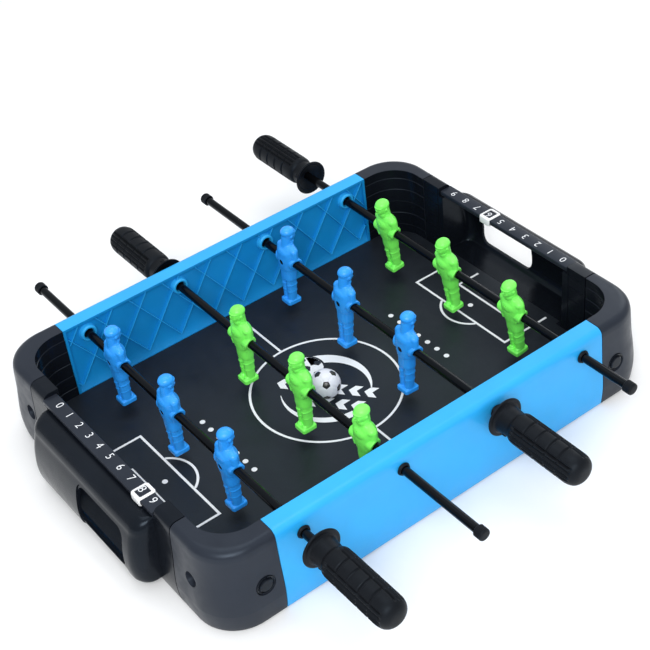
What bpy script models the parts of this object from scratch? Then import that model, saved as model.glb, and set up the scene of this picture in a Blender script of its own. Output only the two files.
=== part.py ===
"""Tabletop foosball. +X runs along the table to the right goal, +Y to the back panel, +Z up.

The origin is under the middle of the table, on the surface that it stands on. Units are metres.
"""

import math

import bmesh
import bpy
from mathutils import Matrix, Vector

MM = 0.001
GAP = 0.3  # clearance between touching pieces

# Rods and players, mm
ROD_PITCH = 100.0
ROD_Z = 70.0
ROD_R = 3.9
ROD_SEGMENTS = 16
PLAYER_PITCH = 88.3
SLIDE_REST = (16.0, -37.5, 28.5, 0.2)  # y of each rod's middle player
SPIN_REST = (0.0, 0.0, 3.0, -7.0)  # lean of each rod's players, degrees
HANDLE_SIDE = (-1, 1, -1, 1)
CAP_END = 233.2  # from the middle player to the end of the cap
CAP_LENGTH = 8.5
CAP_R = 5.5
HANDLE_RIM = 212.5  # from the middle player to the flange's rim

# Table, mm
STANDS_AT = 1.5  # underside of the frame and the board, above the foot pads' soles
PITCH_Z = 11.0
RIM_Z = 85.0
INNER_X, INNER_Y = 216.0, 151.5
RIM_INNER_Y = 154.0
SEAM_X = 174.3  # between the side panels and the corner pieces
SEAM_Y = 111.8  # between the corner pieces and the end pieces
OUTER_X = 231.0
OUTER_Y = 172.6
INNER_CORNER_R = 32.0
OUTER_CORNER_R = 37.0
# Outward bulge of the outer face as (z, offset), and the rounded shoulder above it
BULGE = ((1.5, 2.6), (6.0, 3.4), (20.0, 4.4), (36.0, 3.6), (54.0, 2.0), (76.0, 0.8))
SHOULDER_R = 6.4

# Score rail, marker and ball box, mm
RAIL_HALF = 88.2
STEP_Y = 88.5
LEDGE_Y = 83.0
LEDGE_Z = 76.0
RAIL_X = (218.2, 232.0)
RAIL_Z = (76.3, 81.2)
DIGIT_PITCH = 16.68
MARKER_REST = (-3.85, -1.42)  # places from the middle of the rail: by the 8 and by the 6
BOX_HALF = 87.9
BOX_CORNER_R = 13.0
BOX_SHOULDER_R = 13.0
BOX_TOP = 73.6
ROOF_X = 232.3
BOX_PROFILE = ((8.8, 252.5), (12.5, 254.6), (24.0, 256.2), (38.0, 255.4), (50.0, 253.2), (60.6, 250.2))
BOX_HOLLOW = ((10.8, 250.0), (24.0, 253.0), (38.0, 252.2), (50.0, 249.8), (60.0, 246.4), (66.0, 242.0),
              (70.4, 235.0))
RECESS_DEPTH = 1.1
RECESS_Y = (-70.0, 6.0)  # on the left box, from the bottom edge up
RECESS = ((4.0, 253.0, 0), (12.5, 254.6, 0), (24.0, 256.2, 0), (38.0, 255.4, 0), (50.0, 253.2, 0),
          (55.0, 252.0, 3.0), (59.0, 251.0, 10.0))  # z, face x, inset of both sides
BALL_OPENING_Y = (-66.0, 5.0)
BALL_OPENING_Z = (15.0, 56.0)

BALL_R = 14.0

BLACK = (0.020, 0.021, 0.025)
BLUE = (0.020, 0.300, 0.850)
PLAYER_BLUE = (0.030, 0.280, 0.900)
PLAYER_GREEN = (0.140, 0.800, 0.060)
WHITE = (0.85, 0.85, 0.85)

for old in list(bpy.data.objects):
    bpy.data.objects.remove(old, do_unlink=True)

materials = {}


def material(name, colour, roughness, metallic=0.0):
    if name not in materials:
        made = bpy.data.materials.new(name)
        made.use_nodes = True
        shader = made.node_tree.nodes["Principled BSDF"]
        shader.inputs["Base Color"].default_value = (*colour, 1.0)
        shader.inputs["Roughness"].default_value = roughness
        shader.inputs["Metallic"].default_value = metallic
        materials[name] = made
    return materials[name]


def mesh_object(name, bm, mat, smooth=None):
    """An object from a bmesh in mm. smooth is the largest angle, in degrees, that is shaded round."""
    bmesh.ops.scale(bm, vec=(MM, MM, MM), verts=bm.verts)
    bmesh.ops.recalc_face_normals(bm, faces=bm.faces)
    if bm.calc_volume(signed=True) < 0:
        bmesh.ops.reverse_faces(bm, faces=bm.faces)
    for face in bm.faces:
        face.smooth = smooth is not None
    for edge in bm.edges:
        if smooth is not None and len(edge.link_faces) == 2:
            edge.smooth = edge.calc_face_angle(0.0) < math.radians(smooth)
    mesh = bpy.data.meshes.new(name)
    bm.to_mesh(mesh)
    bm.free()
    made = bpy.data.objects.new(name, mesh)
    bpy.context.scene.collection.objects.link(made)
    if mat:
        mesh.materials.append(mat)
    return made


def boolean(target, other, operation="DIFFERENCE"):
    """Applies the boolean now, then removes the other object."""
    modifier = target.modifiers.new(operation.lower(), "BOOLEAN")
    modifier.operation = operation
    modifier.solver = "EXACT"
    modifier.object = other
    bpy.context.view_layer.update()
    graph = bpy.context.evaluated_depsgraph_get()
    mesh = bpy.data.meshes.new_from_object(target.evaluated_get(graph))
    target.modifiers.clear()
    target.data = mesh
    bpy.data.objects.remove(other, do_unlink=True)
    return target


def resmooth(target, angle):
    for face in target.data.polygons:
        face.use_smooth = True
    bm = bmesh.new()
    bm.from_mesh(target.data)
    bmesh.ops.dissolve_degenerate(bm, dist=1e-7, edges=bm.edges)
    for edge in bm.edges:
        if len(edge.link_faces) == 2:
            edge.smooth = edge.calc_face_angle(0.0) < math.radians(angle)
    bm.to_mesh(target.data)
    bm.free()
    return target


def loft(rings, closed_ends=True):
    """A skin over rings of equally many points. Each ring is a list of (x, y, z)."""
    bm = bmesh.new()
    layers = [[bm.verts.new(p) for p in ring] for ring in rings]
    for low, high in zip(layers, layers[1:]):
        count = len(low)
        for i in range(count):
            j = (i + 1) % count
            bm.faces.new((low[i], low[j], high[j], high[i]))
    if closed_ends:
        bm.faces.new(layers[0][::-1])
        bm.faces.new(layers[-1])
    return bm


def lathe(profile, segments, axis="Y", phase=0.0):
    """A solid of revolution. profile is (along, radius) points; radius 0 ends on the axis."""
    bm = bmesh.new()
    rings = []
    for along, radius in profile:
        if radius == 0:
            rings.append([bm.verts.new((0, along, 0))])
            continue
        turn = [2 * math.pi * (i + phase) / segments for i in range(segments)]
        rings.append([bm.verts.new((radius * math.cos(a), along, radius * math.sin(a))) for a in turn])
    for low, high in zip(rings, rings[1:]):
        for i in range(segments):
            j = (i + 1) % segments
            if len(low) == 1:
                bm.faces.new((low[0], high[j], high[i]))
            elif len(high) == 1:
                bm.faces.new((low[i], low[j], high[0]))
            else:
                bm.faces.new((low[i], low[j], high[j], high[i]))
    if len(rings[0]) > 1 and len(rings[-1]) > 1:
        if profile[0] == profile[-1]:
            bmesh.ops.remove_doubles(bm, verts=bm.verts, dist=1e-5)
        else:
            bm.faces.new(rings[0])
            bm.faces.new(rings[-1])
    turns = {"Y": Matrix.Identity(3), "Z": Matrix.Rotation(math.pi / 2, 3, "X"),
             "X": Matrix.Rotation(-math.pi / 2, 3, "Z")}
    bmesh.ops.rotate(bm, verts=bm.verts, cent=(0, 0, 0), matrix=turns[axis])
    return bm


def box(low, high):
    bm = bmesh.new()
    bmesh.ops.create_cube(bm, size=1.0)
    for vert in bm.verts:
        for i in range(3):
            vert.co[i] = low[i] if vert.co[i] < 0 else high[i]
    return bm


def prism(outline, low, high, axis="Z"):
    """An outline of (a, b) points pushed from low to high along an axis."""
    def place(a, b, c):
        return {"Z": (a, b, c), "Y": (a, c, b), "X": (c, a, b)}[axis]
    return loft([[place(a, b, low) for a, b in outline], [place(a, b, high) for a, b in outline]])


def arc(cx, cy, radius, start, end, steps):
    """Points on an arc, angles in degrees."""
    turn = [math.radians(start + (end - start) * i / steps) for i in range(steps + 1)]
    return [(cx + radius * math.cos(a), cy + radius * math.sin(a)) for a in turn]


def rounded(ax, bx, ay, by, radius, steps=4):
    """A rectangle from (ax, ay) to (bx, by) with round corners."""
    points = arc(bx - radius, by - radius, radius, 0, 90, steps)
    points += arc(ax + radius, by - radius, radius, 90, 180, steps)
    points += arc(ax + radius, ay + radius, radius, 180, 270, steps)
    return points + arc(bx - radius, ay + radius, radius, 270, 360, steps)


def wall_levels(outer, inner_low, inner_top):
    """(z, outer, inner) of the frame's section from the bottom to the rim."""
    levels = []
    for z, bulge in BULGE:
        rise = max(0.0, (z - PITCH_Z) / (RIM_Z - PITCH_Z))
        inner = inner_low + (inner_top - inner_low) * rise
        levels.append((z, outer + bulge, inner))
    for a in (20, 45, 70, 90):
        turn = math.radians(a)
        z = RIM_Z - SHOULDER_R + SHOULDER_R * math.sin(turn)
        shoulder = outer - SHOULDER_R * (1 - math.cos(turn)) + 0.4 * (1 - math.sin(turn))
        levels.append((z, shoulder, inner_top))
    return levels


def section(outer, inner_low, inner_top):
    """The frame's cross-section as (across, z) points, outer side first."""
    levels = wall_levels(outer, inner_low, inner_top)
    points = [(o, z) for z, o, _ in levels]
    points += [(inner_top, RIM_Z), (inner_low, PITCH_Z), (inner_low, STANDS_AT)]
    return points


# ---- materials
black_satin = material("black_satin_plastic", BLACK, 0.38)
black_gloss = material("black_gloss_plastic", BLACK, 0.22)
black_board = material("black_board", (0.016, 0.017, 0.020), 0.42)
black_rubber = material("black_rubber", (0.016, 0.016, 0.018), 0.62)
blue_panel = material("blue_panel_plastic", BLUE, 0.35)
rod_black = material("rod_black", (0.012, 0.012, 0.013), 0.20, 0.6)
steel = material("screw_steel", (0.45, 0.45, 0.47), 0.3, 1.0)
white_plastic = material("white_plastic", WHITE, 0.35)
ball_white = material("ball_white", WHITE, 0.4)
player_paint = {
    "blue": material("player_blue", PLAYER_BLUE, 0.38),
    "green": material("player_green", PLAYER_GREEN, 0.38),
}

# ---- pitch board, with a tab into each goal mouth
corner_r = INNER_CORNER_R - GAP
edge_x, edge_y = INNER_X - GAP, INNER_Y - GAP
tab_x, tab_y = 221.0, 76.0
quarter = [(edge_x, tab_y)] + arc(edge_x - corner_r, edge_y - corner_r, corner_r, 0, 90, 6)
quarter = [(tab_x, tab_y)] + quarter
outline = quarter + [(-x, y) for x, y in quarter[::-1]]
outline += [(-x, -y) for x, y in outline]
pitch_board = mesh_object("pitch_board", prism(outline, STANDS_AT, PITCH_Z), black_board)

# ---- side panels and their rod bushes
BUSH_HOLE_R = 5.1
BUSH_R = 4.8
BUSH_BORE_R = 4.3
rod_x = [(i - 1.5) * ROD_PITCH for i in range(4)]
panel_section = section(OUTER_Y, INNER_Y, RIM_INNER_Y)
bush_out = OUTER_Y + 1.6  # outer face where the bush's flange seats
for side, panel_name in ((-1, "panel_front"), (1, "panel_back")):
    half = SEAM_X - GAP / 2
    points = [(side * a, z) for a, z in panel_section]
    panel = mesh_object(panel_name, prism(points, -half, half, "X"), blue_panel, 40)
    for i, x in enumerate(rod_x):
        bore = lathe([(140.0, BUSH_HOLE_R), (190.0, BUSH_HOLE_R)], ROD_SEGMENTS)
        seat = lathe([(bush_out - 0.4, 6.6), (190.0, 6.6)], ROD_SEGMENTS)
        for cutter in (bore, seat):
            bmesh.ops.translate(cutter, verts=cutter.verts, vec=(x, 0, ROD_Z))
            for vert in cutter.verts:
                vert.co.y *= side
            boolean(panel, mesh_object("cutter", cutter, None))
        inner = RIM_INNER_Y - 0.8
        face = bush_out - 0.1
        bush = lathe([(inner, BUSH_BORE_R), (inner, BUSH_R), (face, BUSH_R), (face, 5.7), (face + 2.0, 5.7),
                      (face + 2.6, 5.2), (face + 2.6, BUSH_BORE_R), (inner, BUSH_BORE_R)], ROD_SEGMENTS)
        for vert in bush.verts:
            vert.co.y *= side
        bushing = mesh_object(f"rod_bush_{panel_name[6:]}_{i + 1}", bush, black_satin, 40)
        bushing.location = Vector((x, 0, ROD_Z)) * MM
    resmooth(panel, 40)

# ---- corner pieces
PLUG_X, PLUG_Z, PLUG_R = 190.5, 40.5, 9.0
SCREW_Y = (136.5, 121.0)  # front left and back right, then the other two
SCREW_Z, SCREW_R = 46.5, 3.6
SCREW_HOLE_R = 7.0
CORNER_STEPS = 7
corner_names = {(-1, -1): "front_left", (1, -1): "front_right", (-1, 1): "back_left", (1, 1): "back_right"}
levels_x = wall_levels(OUTER_X, INNER_X, INNER_X)
levels_y = wall_levels(OUTER_Y, INNER_Y, RIM_INNER_Y)
levels_x = [(STANDS_AT, levels_x[0][1], INNER_X)] + levels_x[1:]


def corner_ring(ox, oy, ix, iy, z):
    """The outline of the corner piece at one height, in the +X +Y quarter."""
    start_x, start_y = SEAM_X + GAP / 2, SEAM_Y + GAP / 2
    r_out = OUTER_CORNER_R
    r_in = INNER_CORNER_R
    ring = [(start_x, iy)]
    ring += arc(ix - r_in, iy - r_in, r_in, 90, 0, CORNER_STEPS)
    ring += [(ix, start_y), (ox, start_y)]
    ring += arc(ox - r_out, oy - r_out, r_out, 0, 90, CORNER_STEPS)
    ring += [(start_x, oy)]
    return [(a, b, z) for a, b in ring]


for (sx, sy), corner_name in corner_names.items():
    rings = []
    for (z, ox, ix), (_, oy, iy) in zip(levels_x, levels_y):
        rings.append([(sx * a, sy * b, c) for a, b, c in corner_ring(ox, oy, ix, iy, z)])
    corner = mesh_object(f"corner_{corner_name}", loft(rings), black_satin, 35)
    pocket = lathe([(172.5, PLUG_R), (190.0, PLUG_R)], 16)
    bmesh.ops.translate(pocket, verts=pocket.verts, vec=(PLUG_X, 0, PLUG_Z))
    bore = lathe([(226.0, SCREW_HOLE_R), (245.0, SCREW_HOLE_R)], 16, "X")
    screw_y = SCREW_Y[0 if sx == sy else 1]
    bmesh.ops.translate(bore, verts=bore.verts, vec=(0, screw_y, SCREW_Z))
    for cutter in (pocket, bore):
        for vert in cutter.verts:
            vert.co.x *= sx
            vert.co.y *= sy
        boolean(corner, mesh_object("cutter", cutter, None))
    resmooth(corner, 35)

    plug = lathe([(172.8, 0), (172.8, PLUG_R - GAP), (175.8, PLUG_R - GAP), (175.0, 6.9), (177.0, 6.0),
                  (177.0, 0)], 16)
    for vert in plug.verts:
        vert.co.y *= sy
    plug = mesh_object(f"snap_plug_{corner_name}", plug, black_satin, 35)
    plug.location = Vector((sx * PLUG_X, 0, PLUG_Z)) * MM
    screw = lathe([(226.3, 0), (226.3, SCREW_R), (228.2, SCREW_R), (229.6, 0)], 12, "X")
    for vert in screw.verts:
        vert.co.x *= sx
    screw = mesh_object(f"corner_screw_{corner_name}", screw, steel, 35)
    screw.location = Vector((0, sy * screw_y, SCREW_Z)) * MM
    pad = lathe([(0.0, 0), (0.0, 7.0), (STANDS_AT - GAP, 7.0), (STANDS_AT - GAP, 0)], 16, "Z")
    pad = mesh_object(f"foot_pad_{corner_name}", pad, black_rubber, 35)
    pad.location = Vector((sx * 214.5, sy * 155.5, 0)) * MM

# ---- end pieces: two posts, a ball box open to the pitch, and the retrieval opening
END_STEPS = 5


def box_outline(outer, half, radius):
    """The ball box's outside at one height, from one post round to the other, in +X."""
    points = arc(outer - radius, -half + radius, radius, -90, 0, END_STEPS)
    return points + arc(outer - radius, half - radius, radius, 0, 90, END_STEPS)


for side, end_name in ((-1, "left"), (1, "right")):
    half = SEAM_Y - GAP / 2
    end = prism(section(OUTER_X, INNER_X, INNER_X), -half, half, "Y")
    end = mesh_object(f"end_{end_name}", end, black_gloss, 35)
    # the box outside: a bulging wall, then a round shoulder up to the roof
    levels = [(z, x, BOX_HALF, BOX_CORNER_R) for z, x in BOX_PROFILE]
    for angle in (30, 60, 90):
        turn = math.radians(angle)
        shrink = BOX_SHOULDER_R * (1 - math.cos(turn))
        z = BOX_TOP - BOX_SHOULDER_R * (1 - math.sin(turn))
        levels.append((z, BOX_PROFILE[-1][1] - shrink, BOX_HALF - 0.4 * shrink, BOX_CORNER_R - 0.3 * shrink))
    rings = []
    for z, outer, half, radius in levels:
        ring = [(224.0, -half)] + box_outline(outer, half, radius) + [(224.0, half)]
        rings.append([(x, y, z) for x, y in ring])
    boolean(end, mesh_object("box", loft(rings), None), "UNION")
    # the recess round the retrieval opening
    rings = []
    for z, face, inset in RECESS:
        low, high, x = -RECESS_Y[1] + inset, -RECESS_Y[0] - inset, face - RECESS_DEPTH
        rings.append([(x, low, z), (270.0, low, z), (270.0, high, z), (x, high, z)])
    boolean(end, mesh_object("recess", loft(rings), None))
    # the step down to the rail, and room for the marker all along it
    boolean(end, mesh_object("step", box((200.0, -STEP_Y, LEDGE_Z), (245.0, STEP_Y, 100.0)), None))
    boolean(end, mesh_object("slot", box((190.0, -LEDGE_Y, 60.0), (ROOF_X, LEDGE_Y, 90.0)), None))
    boolean(end, mesh_object("path", box((228.0, -LEDGE_Y, BOX_TOP + 0.8), (240.0, LEDGE_Y, 90.0)), None))
    # the inside of the box, open to the pitch
    rings = []
    half, radius = LEDGE_Y - 0.1, 9.0
    for z, outer in BOX_HOLLOW:
        ring = [(190.0, -half)] + box_outline(outer, half, radius) + [(190.0, half)]
        rings.append([(x, y, z) for x, y in ring])
    boolean(end, mesh_object("hollow", loft(rings), None))
    # the board's tab
    cutter = box((190.0, -tab_y - GAP, -5.0), (tab_x + GAP, tab_y + GAP, 14.0))
    boolean(end, mesh_object("tab", cutter, None))
    # retrieval opening
    opening = rounded(*BALL_OPENING_Y, *BALL_OPENING_Z, 9.0, 3)
    boolean(end, mesh_object("opening", prism([(-y, z) for y, z in opening], 240.0, 270.0, "X"), None))
    bm = bmesh.new()
    bm.from_mesh(end.data)
    if side < 0:
        bmesh.ops.rotate(bm, verts=bm.verts, cent=(0, 0, 0), matrix=Matrix.Rotation(math.pi, 3, "Z"))
    bm.to_mesh(end.data)
    bm.free()
    resmooth(end, 35)

    # score rail and its marker
    rail = prism(rounded(*RAIL_X, *RAIL_Z, 0.8, 2), -RAIL_HALF, RAIL_HALF, "Y")
    rail = mesh_object(f"score_rail_{end_name}", rail, black_satin, 35)
    sleeve = prism(rounded(216.4, 233.4, 74.9, 82.6, 1.4, 2), -7.2, 7.2, "Y")
    sleeve = mesh_object(f"score_marker_{end_name}", sleeve, white_plastic, 35)
    inside = (RAIL_X[0] - GAP, RAIL_X[1] + GAP, RAIL_Z[0] - GAP, RAIL_Z[1] + GAP)
    boolean(sleeve, mesh_object("bore", prism(rounded(*inside, 0.8, 2), -20.0, 20.0, "Y"), None))
    boolean(sleeve, mesh_object("window", box((220.4, -4.3, 80.0), (229.8, 4.3, 90.0)), None))
    resmooth(sleeve, 35)
    sleeve.location = Vector((0, MARKER_REST[0 if side < 0 else 1] * DIGIT_PITCH * side * -1, 0)) * MM
    if side < 0:
        rail.rotation_euler = (0, 0, math.pi)
        sleeve.rotation_euler = (0, 0, math.pi)

# ---- rods, caps, handles and players
PLAYER_POINTS = 10
# z from the rod, half depth (x), half width (y), squareness, forward shift
PLAYER_RINGS = (
    (-49.8, 7.3, 7.0, 6.0, 0.4), (-44.6, 7.7, 7.2, 6.0, 0.4), (-43.8, 5.0, 5.9, 2.6, 0.0),
    (-24.0, 5.9, 6.8, 2.3, -0.4), (-9.0, 7.3, 8.7, 2.4, -0.5), (-3.0, 8.4, 11.0, 2.4, -0.3),
    (4.0, 8.6, 13.1, 2.4, -0.3), (12.5, 7.3, 13.6, 2.3, -0.4), (17.0, 5.3, 11.2, 2.2, 0.0),
    (20.4, 4.5, 5.5, 2.0, 0.4), (24.0, 6.5, 6.4, 2.0, 1.6), (29.0, 7.9, 6.8, 2.0, 2.0),
    (33.6, 6.5, 5.3, 2.0, 1.8), (36.0, 2.8, 2.5, 2.0, 1.6),
)
SLEEVE_END = 13.2  # half the length of the sleeve that holds the rod
BORE_R = ROD_R + 0.3


def player(name, facing, colour):
    rings = []
    for z, depth, width, power, forward in PLAYER_RINGS:
        ring = []
        for i in range(PLAYER_POINTS):
            a = 2 * math.pi * (i + 0.5) / PLAYER_POINTS
            c, s = math.cos(a), math.sin(a)
            stretch = (abs(c) ** power + abs(s) ** power) ** (-1 / power)
            ring.append((facing * forward + depth * c * stretch, width * s * stretch, z))
        rings.append(ring)
    body = mesh_object(name, loft(rings), player_paint[colour], 50)
    sleeve = lathe([(-SLEEVE_END, 6.4), (SLEEVE_END, 6.4)], ROD_SEGMENTS)
    boolean(body, mesh_object("sleeve", sleeve, None), "UNION")
    boolean(body, mesh_object("bore", lathe([(-20, BORE_R), (20, BORE_R)], ROD_SEGMENTS), None))
    return resmooth(body, 50)


HANDLE_PROFILE = (
    (0.0, 17.6), (0.9, 17.9), (1.8, 17.2), (3.6, 12.2), (16.0, 11.8), (19.0, 13.8), (22.5, 14.3),
    (80.5, 14.3), (87.0, 12.6), (90.4, 8.2), (91.6, 0),
)
HANDLE_BORE = ((40.0, 0), (40.0, BORE_R), (6.4, BORE_R), (5.6, 8.0), (0.0, 17.6))

for i in range(4):
    side = HANDLE_SIDE[i]
    colour = "blue" if side < 0 else "green"
    rest = SLIDE_REST[i]
    spin = math.radians(SPIN_REST[i])
    place = Vector((rod_x[i], rest, ROD_Z)) * MM
    cap_y = -side * CAP_END  # the outer end of the cap
    rod_low, rod_high = sorted((-side * (CAP_END - 2.4), side * (HANDLE_RIM + 39.0)))
    rod = lathe([(rod_low, ROD_R), (rod_high, ROD_R)], ROD_SEGMENTS)
    rod = mesh_object(f"rod_{i + 1}", rod, rod_black, 40)
    rod.location = place
    cap_start = CAP_END - CAP_LENGTH
    cap = lathe([(CAP_END - 2.0, 0), (CAP_END - 2.0, BORE_R), (cap_start, BORE_R), (cap_start, CAP_R),
                 (CAP_END - 1.2, CAP_R), (CAP_END, CAP_R - 1.4), (CAP_END, 0)], ROD_SEGMENTS)
    for vert in cap.verts:
        vert.co.y *= -side
    cap = mesh_object(f"end_cap_{i + 1}", cap, black_rubber, 40)
    cap.location = place
    handle = lathe([(HANDLE_RIM + t, r) for t, r in HANDLE_BORE + HANDLE_PROFILE[1:]], ROD_SEGMENTS)
    for vert in handle.verts:
        vert.co.y *= side
    handle = mesh_object(f"handle_{i + 1}", handle, black_rubber, 35)
    handle.location = place
    for k in range(3):
        number = (1 if i < 2 else 4) + k
        man = player(f"player_{colour}_{number}", -side, colour)
        man.location = place + Vector((0, (1 - k) * PLAYER_PITCH * MM, 0))
        man.rotation_euler = (0, spin, 0)

# ---- balls
BALL_REST = (-5.5, -8.0, PITCH_Z + BALL_R + 0.05)
SPARE_REST = (-236.3, 60.0, BOX_HOLLOW[0][0] + BALL_R + 0.05)
for name, place in (("ball", BALL_REST), ("ball_spare", SPARE_REST)):
    profile = [(-BALL_R * math.cos(math.pi * k / 9), BALL_R * math.sin(math.pi * k / 9)) for k in range(10)]
    profile[0], profile[-1] = (-BALL_R, 0), (BALL_R, 0)
    ball = mesh_object(name, lathe(profile, 16, "Z"), ball_white, 60)
    ball.location = Vector(place) * MM
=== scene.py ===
"""The looks of a tabletop foosball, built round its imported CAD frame. Lengths in the helpers are in mm."""

import math

import bmesh
import bpy
from mathutils import Euler, Matrix, Vector


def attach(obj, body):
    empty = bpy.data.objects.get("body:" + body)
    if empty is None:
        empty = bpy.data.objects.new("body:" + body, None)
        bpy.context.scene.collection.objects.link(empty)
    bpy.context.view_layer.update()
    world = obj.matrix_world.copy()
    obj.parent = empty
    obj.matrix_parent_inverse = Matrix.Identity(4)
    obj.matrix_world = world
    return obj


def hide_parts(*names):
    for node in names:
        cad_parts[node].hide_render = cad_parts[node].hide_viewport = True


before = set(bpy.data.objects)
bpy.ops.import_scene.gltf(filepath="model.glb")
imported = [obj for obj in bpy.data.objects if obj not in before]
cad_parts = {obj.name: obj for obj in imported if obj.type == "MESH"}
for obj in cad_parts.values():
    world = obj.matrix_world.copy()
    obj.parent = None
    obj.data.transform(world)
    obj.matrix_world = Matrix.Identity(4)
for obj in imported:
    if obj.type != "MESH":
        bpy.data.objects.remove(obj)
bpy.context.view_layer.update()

MM = 0.001

# ---- the CAD's own dimensions, mm
ROD_X = (-150.0, -50.0, 50.0, 150.0)
ROD_Z, ROD_R = 70.0, 3.9
SLIDE_REST = (16.0, -37.5, 28.5, 0.2)
SPIN_REST = (0.0, 0.0, 3.0, -7.0)
HANDLE_SIDE = (-1, 1, -1, 1)
PLAYER_PITCH = 88.3
CAP_END, CAP_LENGTH, CAP_R = 233.2, 8.5, 5.5
HANDLE_RIM = 212.5
STANDS_AT, PITCH_Z, RIM_Z = 1.5, 11.0, 85.0
INNER_X, INNER_Y, RIM_INNER_Y = 216.0, 151.5, 154.0
SEAM_X, SEAM_Y = 174.3, 111.8
OUTER_X, OUTER_Y = 231.0, 172.6
INNER_CORNER_R, OUTER_CORNER_R = 32.0, 37.0
BULGE = ((1.5, 2.6), (6.0, 3.4), (20.0, 4.4), (36.0, 3.6), (54.0, 2.0), (76.0, 0.8))
SHOULDER_R = 6.4
GAP = 0.3
RAIL_HALF, STEP_Y, LEDGE_Y, LEDGE_Z = 88.2, 88.5, 83.0, 76.0
RAIL_X, RAIL_Z = (218.2, 232.0), (76.3, 81.2)
DIGIT_PITCH = 16.68
MARKER_REST = (-3.85, -1.42)
BOX_HALF, BOX_CORNER_R, BOX_SHOULDER_R, BOX_TOP, ROOF_X = 87.9, 13.0, 13.0, 73.6, 232.3
BOX_PROFILE = ((8.8, 252.5), (12.5, 254.6), (24.0, 256.2), (38.0, 255.4), (50.0, 253.2), (60.6, 250.2))
BOX_HOLLOW = ((10.8, 250.0), (24.0, 253.0), (38.0, 252.2), (50.0, 249.8), (60.0, 246.4), (66.0, 242.0),
              (70.4, 235.0))
PLUG_X, PLUG_Z, PLUG_R = 190.5, 40.5, 9.0
SCREW_Y, SCREW_Z, SCREW_R, SCREW_HOLE_R = (136.5, 121.0), 46.5, 3.6, 7.0
BALL_R = 14.0
BALL_REST = (-5.5, -8.0, PITCH_Z + BALL_R + 0.05)
SPARE_REST = (-236.3, 60.0, BOX_HOLLOW[0][0] + BALL_R + 0.05)


# ---- materials
def add_node(tree, kind, values):
    """A shader node with constants in its inputs."""
    node = tree.nodes.new(kind)
    for name, value in values.items():
        node.inputs[name].default_value = value
    return node


def noise(tree, along, scale, detail, roughness=0.5):
    """A noise texture that is read along the given coordinates."""
    node = add_node(tree, "ShaderNodeTexNoise", {"Scale": scale, "Detail": detail, "Roughness": roughness})
    tree.links.new(along, node.inputs["Vector"])
    return node.outputs["Fac"]


def shaded(name, colour, rough, metallic=0.0, spread=0.08, grain=1400.0, bump=0.10, rough_spread=0.08,
           gloss=0.5, streak=(1.0, 1.0, 1.0), tint=(1.0, 1.0, 1.0)):
    """A moulded or painted surface: slow colour drift, uneven roughness and a fine grain in the normal."""
    mat = bpy.data.materials.new(name)
    mat.use_nodes = True
    tree = mat.node_tree
    nodes, links = tree.nodes, tree.links
    shader = nodes["Principled BSDF"]
    shader.inputs["Metallic"].default_value = metallic
    shader.inputs["Specular IOR Level"].default_value = gloss
    shader.inputs["Specular Tint"].default_value = (*tint, 1.0)
    place = nodes.new("ShaderNodeTexCoord")
    stretch = add_node(tree, "ShaderNodeMapping", {"Scale": streak})
    links.new(place.outputs["Object"], stretch.inputs["Vector"])

    drift = noise(tree, place.outputs["Object"], scale=22.0, detail=5.0, roughness=0.6)
    ramp = nodes.new("ShaderNodeValToRGB")
    for stop, at, factor in zip(ramp.color_ramp.elements, (0.3, 0.7), (1 - spread, 1 + spread)):
        stop.position = at
        stop.color = (*[min(1.0, c * factor) for c in colour], 1.0)
    links.new(drift, ramp.inputs["Fac"])
    links.new(ramp.outputs["Color"], shader.inputs["Base Color"])

    patches = noise(tree, stretch.outputs["Vector"], scale=90.0, detail=3.0)
    to_rough = add_node(tree, "ShaderNodeMapRange", {
        "From Min": 0.3, "From Max": 0.7,
        "To Min": max(0.02, rough - rough_spread), "To Max": rough + rough_spread})
    links.new(patches, to_rough.inputs["Value"])
    links.new(to_rough.outputs["Result"], shader.inputs["Roughness"])

    fine = noise(tree, stretch.outputs["Vector"], scale=grain, detail=2.0)
    relief = add_node(tree, "ShaderNodeBump", {"Strength": bump, "Distance": 0.0002})
    links.new(fine, relief.inputs["Height"])
    links.new(relief.outputs["Normal"], shader.inputs["Normal"])
    return mat


COOL = (0.66, 0.82, 1.0)  # the tint of the shine on the black parts
black_frame = shaded("black_frame", (0.0175, 0.0205, 0.0290), 0.36, bump=0.09, spread=0.12, gloss=0.26,
                     tint=COOL)
# the ball box's own black; on the inside walls of the corner pieces it is painted shade
black_box = shaded("black_box", (0.0055, 0.0070, 0.0105), 0.22, bump=0.04, spread=0.20, rough_spread=0.05,
                   gloss=0.18, tint=COOL)
board_black = shaded("board_black", (0.0120, 0.0145, 0.0190), 0.42, bump=0.20, grain=700.0, spread=0.22,
                     gloss=0.30, tint=COOL)
board_print = shaded("board_print", (0.80, 0.82, 0.85), 0.45, bump=0.08, spread=0.02)
# a darker blue, painted shade for the sunk inner side of the panels
panel_blue_painted_shade = shaded("panel_blue_painted_shade", (0.005, 0.240, 0.600), 0.40, bump=0.10, spread=0.06, gloss=0.4)
panel_blue = shaded("panel_blue", (0.022, 0.375, 0.810), 0.36, bump=0.10, spread=0.05, gloss=0.4)
rubber_black = shaded("rubber_black", (0.0055, 0.0060, 0.0075), 0.46, bump=0.30, grain=2200.0, spread=0.2,
                      gloss=0.15, tint=COOL)
rod_coat = shaded("rod_coat", (0.0020, 0.0021, 0.0025), 0.16, bump=0.03, gloss=0.16, spread=0.2,
                  rough_spread=0.05, streak=(1.0, 0.05, 1.0), tint=COOL)
screw_metal = shaded("screw_metal", (0.30, 0.30, 0.32), 0.28, metallic=1.0, bump=0.06, spread=0.1)
marker_white = shaded("marker_white", (0.84, 0.85, 0.86), 0.30, bump=0.05, spread=0.02)
ball_skin = shaded("ball_skin", (0.78, 0.79, 0.86), 0.30, bump=0.06, spread=0.02)
ball_patch = shaded("ball_patch", (0.010, 0.010, 0.011), 0.30, bump=0.10, spread=0.2)
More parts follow.
